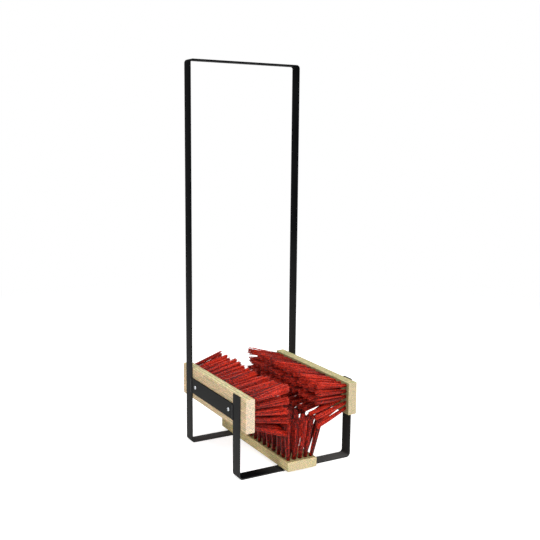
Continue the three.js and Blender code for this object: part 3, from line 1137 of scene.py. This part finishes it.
@dataclass(frozen=True)
class WoodScrew:
    """Domed wood screw with a cross recess and a cut thread.

    Its own axes run across the head and out of it, from the rail's face at zero. The
    head's lines are shares of its radius, where its grid has a line beside the cross's.
    """

    side: Side
    end: End
    head_radius: float = 4.3 * MM
    head_height: float = 2.5 * MM
    head_lines: tuple[float, ...] = (0.38, 0.78, 0.9)
    seat_gap: float = 0.3 * MM
    shank_radius: float = 2 * MM
    core_radius: float = 1.45 * MM
    plain_length: float = 5 * MM
    tip_length: float = 3 * MM
    tip_share: float = 0.03
    thread_pitch: float = 1.6 * MM
    rows_a_pitch: int = 5
    cross_half_width: float = 0.55 * MM
    cross_half_length: float = 2.4 * MM
    cross_depth: float = 1.3 * MM
    wall: float = 0.14 * MM
    sharp: float = 40.0

    def head(self) -> tuple[Array, Array]:
        """Top of the head: a square grid drawn out to a disc, raised to a dome that is
        pressed in where the two bars of the cross run.

        Returns:
            Grid of points, and the numbers of those round its border.
        """
        slot, slot_top, length, length_top = [size / self.head_radius for size in (
            self.cross_half_width, self.cross_half_width + self.wall,
            self.cross_half_length, self.cross_half_length + 2 * self.wall)]
        half = np.sort([0, slot, slot_top, length, length_top, *self.head_lines, 1])
        line = np.concatenate([-half[:0:-1], half])
        x, y = np.meshgrid(line, line)
        disc = np.stack([x * np.sqrt(1 - y ** 2 / 2), y * np.sqrt(1 - x ** 2 / 2)], axis=-1)
        dome = np.sqrt(np.clip(1 - (disc ** 2).sum(axis=-1), 0, 1)) * self.head_height
        bars = [np.interp(np.abs(a), [slot, slot_top], [1, 0])
                * np.interp(np.abs(b), [length, length_top], [1, 0]) for a, b in ((x, y), (y, x))]
        height = dome - self.cross_depth * np.maximum(*bars)
        grid = np.concatenate([disc * self.head_radius, height[..., None]], axis=-1)
        numbers = np.arange(line.size ** 2).reshape(line.size, line.size)
        border = np.concatenate([numbers[0, :-1], numbers[:-1, -1],
                                 numbers[-1, :0:-1], numbers[:0:-1, 0]])
        return grid, border

    def shank(self, angle: Array, length: float) -> Array:
        """Rings down the shank, whose radius rises and falls with a helix below the plain
        part and shrinks to the point.

        Args:
            angle: Angles of the points in each ring.
            length: Distance from the rail's face to the point.

        Returns:
            Points by ring.
        """
        step = self.thread_pitch / self.rows_a_pitch
        depth = np.concatenate([[0.0], np.arange(self.plain_length, length, step), [length]])
        depth = depth[:, None]
        turns = depth / self.thread_pitch - angle / math.tau
        crest = (1 - np.abs(2 * (turns % 1) - 1)) ** 2
        thread = self.core_radius + (self.shank_radius - self.core_radius) * crest
        radius = np.where(depth <= self.plain_length, self.shank_radius, thread)
        radius *= np.clip((length - depth) / self.tip_length, self.tip_share, 1)
        return np.stack([radius * np.cos(angle), radius * np.sin(angle),
                         np.repeat(-depth, len(angle), axis=1)], axis=-1)

    def build(self, zinc: Material) -> None:
        """Joins head and shank and sets them where the CAD screw is.

        Args:
            zinc: Finish of the screw.
        """
        name = f"{self.side.key}_{self.end.value}"
        out = -self.side.axes[2]
        top, size = node_face(f"{name}_screw", out)
        seat = self.head_height + self.seat_gap
        grid, border = self.head()
        rim = grid.reshape(-1, 3)[border]
        rings = self.shank(np.arctan2(rim[:, 1], rim[:, 0]), abs(size @ out) - seat)
        points = np.concatenate([grid.reshape(-1, 3), rings.reshape(-1, 3)])
        around, first = len(border), grid.shape[0] * grid.shape[1]
        ring = first + np.arange(around)
        collar = np.stack([border, np.roll(border, -1), np.roll(ring, -1), ring], axis=1)
        point = ring[None] + (len(rings) - 1) * around
        faces = [grid_faces(*grid.shape[:2]), collar,
                 grid_faces(len(rings), around, closed=True) + first, point]
        axes = np.array([self.side.axes[1], np.cross(out, self.side.axes[1]), out])
        make_piece(f"{name}_zinc_screw", f"{name}_screw", "screws",
                   top - out * seat + points @ axes, faces, zinc, sharp=self.sharp)


class BeadShape(Enum):
    """Section of a weld bead: a dome across a butt joint, a fillet in a corner, or a plug
    between two bar ends. Its value is the power of the dome's sine, which makes it fuller,
    or how far the face of the others swells."""

    DOME = 0.8
    FILLET = 0.12
    PLUG = 0.1

    def section(self, steps: int) -> Array:
        """Outline of the section, counter-clockwise.

        Args:
            steps: Points on its curved part.

        Returns:
            Points across the bead, from -1 to 1, and out of it, from its seat at zero to
            its crown at one.
        """
        part = np.linspace(0, 1, steps)
        sine = np.sin(math.pi * part)
        if self is BeadShape.DOME:
            curve = np.stack([np.cos(math.pi * part), sine ** self.value], axis=1)
            seat = np.array([[-0.5, 0.0], [0.5, 0.0]])
        elif self is BeadShape.FILLET:
            swell = self.value * sine
            curve = np.stack([1 - 2 * part + swell, part + swell / 2], axis=1)
            seat = np.array([[-1.0, 0.0]])
        else:
            hollow = self.value * (1 - sine)
            curve = np.stack([1 - 2 * part, 1 - hollow], axis=1)
            seat = np.stack([2 * part - 1, hollow], axis=1)
        return np.concatenate([curve, seat])


@dataclass(frozen=True)
class WeldBead:
    """Weld bead in its CAD node's box.

    Its skin is the section carried along the run. Rounded ripples lift its crown in steps,
    slow waves widen and narrow it, and both ends close in a quarter circle.
    """

    node: str
    shape: BeadShape
    run_axis: int
    out: Point
    mirrored: bool = False
    seat_gap: float = 0.3 * MM
    ripple_pitch: float = 1.7 * MM
    ripple: float = 0.10
    wander: float = 0.05
    waves: int = 3
    wave_length: float = 4 * MM
    rows_a_ripple: int = 6
    end_length: float = 2.2 * MM
    end_share: float = 0.1
    section_steps: int = 15
    sharp: float = 60.0

    def build(self, paint: Material) -> None:
        """Carries the section along the run.

        Args:
            paint: Finish of the bead.
        """
        out, run = np.array(self.out, dtype=float), np.eye(3)[self.run_axis]
        across = np.abs(np.cross(run, out)) * (-1 if self.mirrored else 1)
        crown, size = node_face(self.node, out)
        length, width, height = size @ run, abs(size @ across), abs(size @ out) + self.seat_gap
        count = int(length / self.ripple_pitch * self.rows_a_ripple)
        along = np.linspace(-length / 2, length / 2, count)[:, None]
        rng = np.random.default_rng(SEED + sum(map(ord, self.node)))
        starts = rng.uniform(0, math.tau, self.waves)
        lengths = self.wave_length * (np.arange(self.waves) + 1)
        narrow = self.wander * (np.sin(along / lengths + starts).mean(axis=1)[:, None] + 1) / 2
        lift = 1 - self.ripple * ((along / self.ripple_pitch) % 1) ** 2 - narrow
        from_end = np.clip((length / 2 - np.abs(along)) / self.end_length, 0, 1)
        close = np.sqrt(1 - (1 - from_end) ** 2) * (1 - self.end_share) + self.end_share
        section = self.shape.section(self.section_steps)
        grid = crown - out * height + along[:, None] * run
        grid = grid + (section[:, 0] * (1 - narrow) * close * width / 2)[..., None] * across
        grid = grid + (section[:, 1] * lift * close * height)[..., None] * out
        around = len(section)
        caps = np.stack([np.arange(around), np.arange(around) + around * (count - 1)])
        faces = [grid_faces(count, around, closed=True), caps]
        make_piece(self.node.replace("weld", "bead"), self.node, "weld",
                   grid.reshape(-1, 3), faces, paint, sharp=self.sharp)


@dataclass(frozen=True)
class BootScraper:
    """The whole scraper: two bent bars, three brushes on their rails, and the weld that
    closes the hoop. The stances follow the tips that show."""

    bars: tuple[BentBar, ...] = (
        BentBar("rear_hoop_bar", "rear_hoop", closed_loop=True, inside_bend=5 * MM),
        BentBar("front_frame_bar", "front_frame", closed_loop=False, inside_bend=7 * MM),
    )
    left: Brush = Brush(
        Side.LEFT,
        # The left block's top is tinted lighter and greener: painted light on its top.
        RawBeech(planed=("#dfc9a5", "#bfa57c"), top_tint=(0.97, 1.13, 1.06)),
        pith=(-0.19, 0.0, 0.05),
        stance=Stance(
            at_columns=(0, 1, 3, 7, 10, 12, 13, 14),
            leans=((-11.5, -10, -9, -8.5, -8.5, -10.5, -12.4, -9.6),
                   (-2, -1, -1, -1, -1, -7, -12, -18), (4, 4, 4, 4, 4, 3, 0, -7),
                   (9.5, 9.5, 9.5, 9.5, 9.5, 9.5, 9, 9), (15,) * 8),
            flares=(-4, -2.5, -1, 0, 1.5, 5.5, 10, 13),
            front_radii=(8, 8.5, 8.5, 8.5, 8), tip_radii=(7, 8, 8.5, 8.5, 8),
            unevenness=(1.8, 1.7, 1.5, 1.5, 1.5), radius_share=0.30, wear=2.2,
        ),
    )
    right: Brush = Brush(
        Side.RIGHT,
        RawBeech(planed=("#ccc597", "#b0a373"), sawn=("#c4b796", "#b5a37f")),
        pith=(0.24, 0.0, 0.30),
        stance=Stance(
            at_columns=(0, 1, 2, 3, 4, 6, 9, 14),
            leans=((-19, -26, -25, -27, -22, -24, -22, -20),
                   (-13, -13.5, -11.5, -9.5, -11, -10, -10, -10),
                   (3.5, 2.2, 2.3, 2, 2, 2, 1.4, 0), (8, 7, 7, 7, 7, 7, 7, 7),
                   (12.5, 12, 12, 12, 12, 12, 12, 13)),
            flares=(-8.5, -3.5, -1.5, -3.5, 1, -0.5, 0.4, 4.5),
            front_radii=(4.3, 4.6, 6.5, 7, 7.5), tip_radii=(3.2, 4.5, 6.3, 8.5, 8),
            unevenness=(0.3, 0.4, 1.2, 2, 1.2), row_shift=2.8,
        ),
        # Slightly darker tips: painted shade between the filament ends.
        row_pitch=12.3 * MM, tip_wear=-0.05,
    )
    lower: Brush = Brush(
        Side.LOWER,
        RawBeech(planed=("#e2d29c", "#c6b07c"), sawn=("#cfc29c", "#bfae84")),
        pith=(0.05, 0.0, -0.09),
        stance=Stance(
            at_columns=(0, 1, 2, 3, 4, 6, 9, 14),
            leans=((-4,) * 8, (1.5,) * 8, (6, 5.5, 7.5, 7.5, 7.3, 7, 7, 7),
                   (6.6, 11.5, 10.4, 9.3, 10.6, 11, 11, 11),
                   (13.8, 17, 14.5, 13.6, 12.4, 12.5, 15, 16.3)),
            flares=(-3, -6.5, -7, -1.5, -0.5, 0.6, 0.4, 4.5),
            front_radii=(7.5, 8.4, 6.8, 6.4, 6), tip_radii=(6.8, 6.2, 5.2, 3.8, 4.2),
            unevenness=(1.2, 1.2, 0.6, 0.3, 0.3),
        ),
        # Darker filaments, roots and tips: painted shade under the side brushes.
        shade=0.52, root_dirt=0.85, tip_wear=-0.45,
    )
    closing_weld: WeldBead = WeldBead("hoop_closing_weld", BeadShape.PLUG, 1, (0, 0, -1))

    def build(self) -> None:
        """Builds and dresses every piece."""
        paint = SatinBlackPaint().material()
        plastic = RedBristlePlastic().material()
        weld = PaintedWeld().material()
        zinc = ZincPlate().material()
        for bar in self.bars:
            bar.build(paint)
        for brush in (self.left, self.right, self.lower):
            brush.build_block()
            brush.build_tufts(plastic)
            Rail(brush.side).build(paint)
            for end in End:
                WoodScrew(brush.side, end).build(zinc)
                self.bead(brush.side, end).build(weld)
        self.closing_weld.build(weld)

    def bead(self, side: Side, end: End) -> WeldBead:
        """Bead at one end of a rail: across its butt joint, or under the lower one.

        Args:
            side: Side of the rail.
            end: End of the rail.

        Returns:
            The bead.
        """
        node = f"{side.key}_{end.value}_weld"
        if side is Side.LOWER:
            return WeldBead(node, BeadShape.FILLET, 0, (0, 0, -1), end is End.REAR)
        return WeldBead(node, BeadShape.DOME, 2, tuple(-side.axes[2]))


# The studio

@dataclass(frozen=True)
class SoftBox:
    """Round soft lamp, with its place and diameter in metres and its power in watts."""

    name: str
    place: Point
    diameter: float
    power: float

    def hang(self, target: Point) -> None:
        """Hangs the lamp, turned to a target.

        Args:
            target: Point that it lights.
        """
        data = bpy.data.lights.new(self.name, "AREA")
        data.shape = "DISK"
        data.size = self.diameter
        data.energy = self.power
        lamp = bpy.data.objects.new(self.name, data)
        aim = Vector(target) - Vector(self.place)
        lamp.matrix_world = (Matrix.Translation(self.place)
                             @ aim.to_track_quat("-Z", "Y").to_matrix().to_4x4())
        bpy.context.scene.collection.objects.link(lamp)


@dataclass(frozen=True)
class Studio:
    """White studio: floor, world, lamps and the camera of the photograph.

    The camera's angles are in degrees, and its lens and sensor in millimetres.
    """

    location: Point = (-0.87053, -1.55480, 0.70345)
    yaw: float = 29.396
    pitch: float = 9.107
    roll: float = 0.5515
    lens: float = 53.656
    sensor: float = 36.0
    floor_size: float = 60.0
    world_light: float = 0.42
    target: Point = (0.0, 0.0, 0.25)
    lamps: tuple[SoftBox, ...] = (
        SoftBox("key_soft_box", (0.0, -3.2, 2.0), 1.4, 86.0),
        SoftBox("top_soft_box", (-0.2, 0.3, 3.2), 2.2, 30.0),
        SoftBox("left_soft_box", (-3.0, -0.8, 1.4), 1.6, 26.0),
    )

    def build(self) -> None:
        """Sets up the whole studio."""
        self.build_floor()
        self.build_world()
        for lamp in self.lamps:
            lamp.hang(self.target)
        self.build_camera()

    def build_floor(self) -> None:
        """Lays one large plane under the scraper."""
        half = self.floor_size / 2
        points = np.array([(-half, -half, 0), (half, -half, 0), (half, half, 0), (-half, half, 0)])
        make_object("studio_floor", points, [np.array([[0, 1, 2, 3]])],
                             StudioFloor().material(), merge=False)

    def build_world(self) -> None:
        """Lights from all around, and is white where the camera or a reflection sees it."""
        world = bpy.data.worlds.new("white_studio")
        bpy.context.scene.world = world
        world.use_nodes = True
        tree = world.node_tree
        tree.nodes.clear()
        strength = add_node(tree, "MapRange", [seen(tree), 0.0, 1.0, self.world_light, 1.0])
        add_node(tree, "OutputWorld", [add_node(tree, "Background", [WHITE, strength])])

    def build_camera(self) -> None:
        """Sets the camera from the photograph's yaw, pitch and roll."""
        place = Matrix.Translation(self.location)
        for angle, axis in ((-self.yaw, "Z"), (90 - self.pitch, "X"), (self.roll, "Z")):
            place @= Matrix.Rotation(math.radians(angle), 4, axis)
        data = bpy.data.cameras.new("photo_camera")
        data.sensor_width = self.sensor
        data.lens = self.lens
        camera = bpy.data.objects.new("photo_camera", data)
        camera.matrix_world = place
        bpy.context.scene.collection.objects.link(camera)
        bpy.context.scene.camera = camera


def main() -> None:
    """Builds the scraper and its studio."""
    logging.basicConfig(level=logging.INFO, format="%(name)s: %(message)s")
    Studio().build()
    BootScraper().build()
    bpy.context.scene.view_settings.view_transform = "Standard"


if __name__ == "__main__":
    main()
